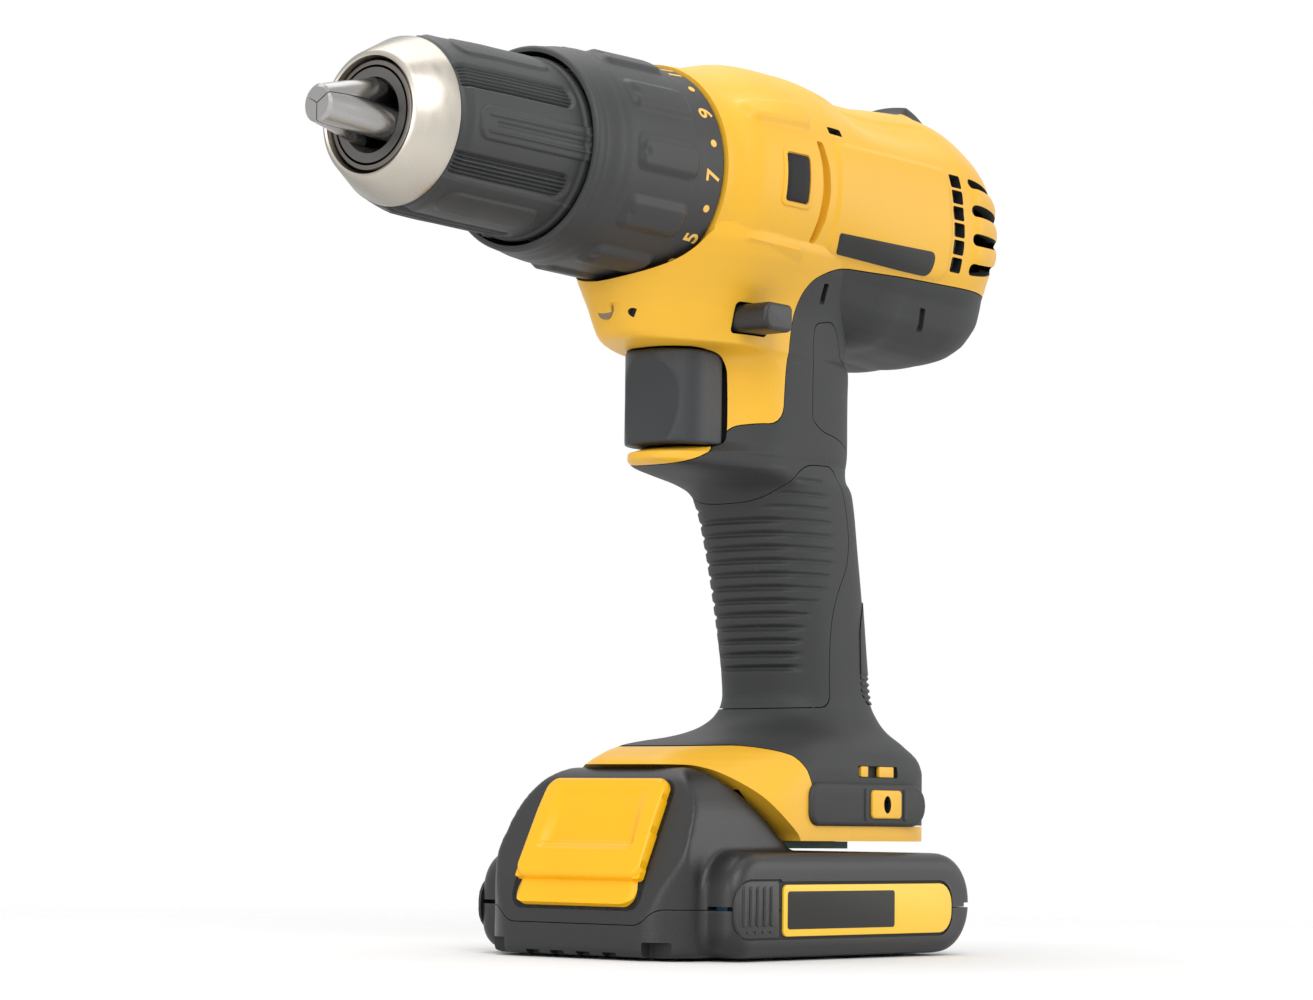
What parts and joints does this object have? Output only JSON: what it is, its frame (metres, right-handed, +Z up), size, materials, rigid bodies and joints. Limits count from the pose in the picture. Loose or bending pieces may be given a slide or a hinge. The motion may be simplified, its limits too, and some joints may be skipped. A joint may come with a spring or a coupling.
{
  "type": "cordless drill",
  "caption": "pistol-grip cordless combi drill with keyless chuck, torque collar, trigger and slide-on battery foot",
  "frame": {"origin": "under the middle of the overall length, on the plane that the battery stands on", "axes": "+Z up; the chuck points along -X; +Y is the tool's right-hand side, seen from behind"},
  "size_m": [0.219, 0.075, 0.2011],
  "materials": {
    "yellow_plastic": "fine moulded texture",
    "soft_black": "matte soft overmould",
    "black_plastic": "moulded, matte",
    "grey_plastic": "moulded",
    "warm_metal": "satin plated",
    "steel": "ground",
    "dark_steel": "oiled",
    "hard_steel": "polished",
    "magnet": "sintered",
    "copper": "bare",
    "carbon": "pressed",
    "clear_lens": "clear",
    "label": "printed film, blank",
    "cell_wrap": "shrink film",
    "button_yellow": "moulded",
    "selector_black": "moulded"
  },
  "bodies": {
    "housing": {"left_housing": "yellow_plastic", "right_housing": "yellow_plastic", "left_grip": "soft_black", "right_grip": "soft_black", "housing_screws": "dark_steel", "gear_case": "grey_plastic", "clutch_thrust_set": "dark_steel", "clutch_spring": "steel", "fixed_ratchet": "dark_steel", "output_ring": "steel", "input_ring": "steel", "bearings": "steel", "motor_can": "steel", "motor_magnets": "magnet", "brush_holder": "grey_plastic", "carbon_brushes": "carbon", "switch_body": "black_plastic", "trigger_spring": "steel", "work_light": "clear_lens", "side_labels": "label", "terminal_block": "black_plastic", "wiring": "black_plastic"},
    "spindle": {"spindle": "dark_steel", "output_carrier": "steel", "chuck_body": "dark_steel", "chuck_screw": "dark_steel"},
    "chuck_sleeve": {"chuck_sleeve": "soft_black", "chuck_nose": "warm_metal", "chuck_nut": "dark_steel"},
    "jaw_1": {"jaw_1": "hard_steel"},
    "jaw_2": {"jaw_2": "hard_steel"},
    "jaw_3": {"jaw_3": "hard_steel"},
    "clutch_collar": {"clutch_collar": "soft_black"},
    "clutch_nut": {"clutch_nut": "grey_plastic"},
    "middle_carrier": {"middle_carrier": "steel"},
    "input_carrier": {"input_carrier": "steel"},
    "rotor": {"rotor_shaft": "dark_steel", "rotor_core": "copper", "cooling_fan": "grey_plastic"},
    "speed_selector": {"speed_selector": "grey_plastic", "shift_ring": "steel"},
    "trigger": {"trigger": "black_plastic"},
    "direction_selector": {"direction_selector": "selector_black"},
    "battery": {"battery_base": "black_plastic", "battery_cover": "black_plastic", "battery_cells": "cell_wrap", "battery_board": "grey_plastic", "battery_screws": "dark_steel", "battery_labels": "yellow_plastic", "release_spring": "steel"},
    "release_button": {"release_button": "button_yellow"},
    "output_planet_1": {"output_planet_1": "steel"},
    "output_planet_2": {"output_planet_2": "steel"},
    "output_planet_3": {"output_planet_3": "steel"},
    "middle_planet_1": {"middle_planet_1": "steel"},
    "middle_planet_2": {"middle_planet_2": "steel"},
    "middle_planet_3": {"middle_planet_3": "steel"},
    "input_planet_1": {"input_planet_1": "steel"},
    "input_planet_2": {"input_planet_2": "steel"},
    "input_planet_3": {"input_planet_3": "steel"}
  },
  "joints": [
    {"name": "motor_spin", "type": "hinge", "parent": "housing", "child": "rotor", "pos_m": [0, 0, 0.172], "axis": [-1, 0, 0], "continuous": true},
    {"name": "input_carrier_spin", "type": "hinge", "parent": "housing", "child": "input_carrier", "pos_m": [0, 0, 0.172], "axis": [-1, 0, 0], "continuous": true},
    {"name": "middle_carrier_spin", "type": "hinge", "parent": "housing", "child": "middle_carrier", "pos_m": [0, 0, 0.172], "axis": [-1, 0, 0], "continuous": true},
    {"name": "spindle_spin", "type": "hinge", "parent": "housing", "child": "spindle", "pos_m": [0, 0, 0.172], "axis": [-1, 0, 0], "continuous": true},
    {"name": "output_planet_1_spin", "type": "hinge", "parent": "spindle", "child": "output_planet_1", "pos_m": [-0.004, 0, 0.18415], "axis": [-1, 0, 0], "continuous": true},
    {"name": "output_planet_2_spin", "type": "hinge", "parent": "spindle", "child": "output_planet_2", "pos_m": [-0.004, -0.01052, 0.16592], "axis": [-1, 0, 0], "continuous": true},
    {"name": "output_planet_3_spin", "type": "hinge", "parent": "spindle", "child": "output_planet_3", "pos_m": [-0.004, 0.01052, 0.16592], "axis": [-1, 0, 0], "continuous": true},
    {"name": "middle_planet_1_spin", "type": "hinge", "parent": "middle_carrier", "child": "middle_planet_1", "pos_m": [0.0085, 0, 0.18438], "axis": [-1, 0, 0], "continuous": true},
    {"name": "middle_planet_2_spin", "type": "hinge", "parent": "middle_carrier", "child": "middle_planet_2", "pos_m": [0.0085, -0.01072, 0.16581], "axis": [-1, 0, 0], "continuous": true},
    {"name": "middle_planet_3_spin", "type": "hinge", "parent": "middle_carrier", "child": "middle_planet_3", "pos_m": [0.0085, 0.01072, 0.16581], "axis": [-1, 0, 0], "continuous": true},
    {"name": "input_planet_1_spin", "type": "hinge", "parent": "input_carrier", "child": "input_planet_1", "pos_m": [0.0215, 0, 0.18355], "axis": [-1, 0, 0], "continuous": true},
    {"name": "input_planet_2_spin", "type": "hinge", "parent": "input_carrier", "child": "input_planet_2", "pos_m": [0.0215, -0.01, 0.16623], "axis": [-1, 0, 0], "continuous": true},
    {"name": "input_planet_3_spin", "type": "hinge", "parent": "input_carrier", "child": "input_planet_3", "pos_m": [0.0215, 0.01, 0.16623], "axis": [-1, 0, 0], "continuous": true},
    {"name": "sleeve_turn", "type": "hinge", "parent": "spindle", "child": "chuck_sleeve", "pos_m": [0, 0, 0.172], "axis": [1, 0, 0], "range_deg": [0, 6480]},
    {"name": "jaw_1_slide", "type": "slide", "parent": "spindle", "child": "jaw_1", "axis": [0.9703, 0, 0.2419], "range_m": [0, 0.02687]},
    {"name": "jaw_2_slide", "type": "slide", "parent": "spindle", "child": "jaw_2", "axis": [0.9703, -0.2095, -0.121], "range_m": [0, 0.02687]},
    {"name": "jaw_3_slide", "type": "slide", "parent": "spindle", "child": "jaw_3", "axis": [0.9703, 0.2095, -0.121], "range_m": [0, 0.02687]},
    {"name": "collar_turn", "type": "hinge", "parent": "housing", "child": "clutch_collar", "pos_m": [0, 0, 0.172], "axis": [1, 0, 0], "range_deg": [-204, 92]},
    {"name": "clutch_nut_slide", "type": "slide", "parent": "clutch_collar", "child": "clutch_nut", "axis": [1, 0, 0], "range_m": [-0.0046, 0.0021], "deforming": ["clutch_spring"]},
    {"name": "speed_shift", "type": "slide", "parent": "housing", "child": "speed_selector", "axis": [1, 0, 0], "range_m": [0, 0.0045]},
    {"name": "trigger_press", "type": "slide", "parent": "housing", "child": "trigger", "axis": [1, 0, 0], "range_m": [0, 0.0065], "stiffness_N_per_m": 600, "springref_m": -0.003, "deforming": ["trigger_spring"]},
    {"name": "direction_slide", "type": "slide", "parent": "housing", "child": "direction_selector", "axis": [0, 1, 0], "range_m": [0, 0.008]},
    {"name": "battery_slide", "type": "slide", "parent": "housing", "child": "battery", "axis": [-1, 0, 0], "range_m": [0, 0.09]},
    {"name": "release_press", "type": "slide", "parent": "battery", "child": "release_button", "axis": [1, 0, 0], "range_m": [0, 0.004], "stiffness_N_per_m": 800, "springref_m": -0.002, "deforming": ["release_spring"]}
  ],
  "couplings": [
    {"joint": "input_carrier_spin", "follows": "motor_spin", "ratio": 0.22727},
    {"joint": "middle_carrier_spin", "follows": "motor_spin", "ratio": 0.061983},
    {"joint": "spindle_spin", "follows": "motor_spin", "ratio": 0.017218},
    {"joint": "output_planet_1_spin", "follows": "motor_spin", "ratio": -0.055957},
    {"joint": "output_planet_2_spin", "follows": "motor_spin", "ratio": -0.055957},
    {"joint": "output_planet_3_spin", "follows": "motor_spin", "ratio": -0.055957},
    {"joint": "middle_planet_1_spin", "follows": "motor_spin", "ratio": -0.19835},
    {"joint": "middle_planet_2_spin", "follows": "motor_spin", "ratio": -0.19835},
    {"joint": "middle_planet_3_spin", "follows": "motor_spin", "ratio": -0.19835},
    {"joint": "input_planet_1_spin", "follows": "motor_spin", "ratio": -0.64394},
    {"joint": "input_planet_2_spin", "follows": "motor_spin", "ratio": -0.64394},
    {"joint": "input_planet_3_spin", "follows": "motor_spin", "ratio": -0.64394},
    {"joint": "jaw_1_slide", "follows": "sleeve_turn", "m_per_rad": 0.00023757},
    {"joint": "jaw_2_slide", "follows": "sleeve_turn", "m_per_rad": 0.00023757},
    {"joint": "jaw_3_slide", "follows": "sleeve_turn", "m_per_rad": 0.00023757},
    {"joint": "clutch_nut_slide", "follows": "collar_turn", "m_per_rad": 0.0012732}
  ]
}
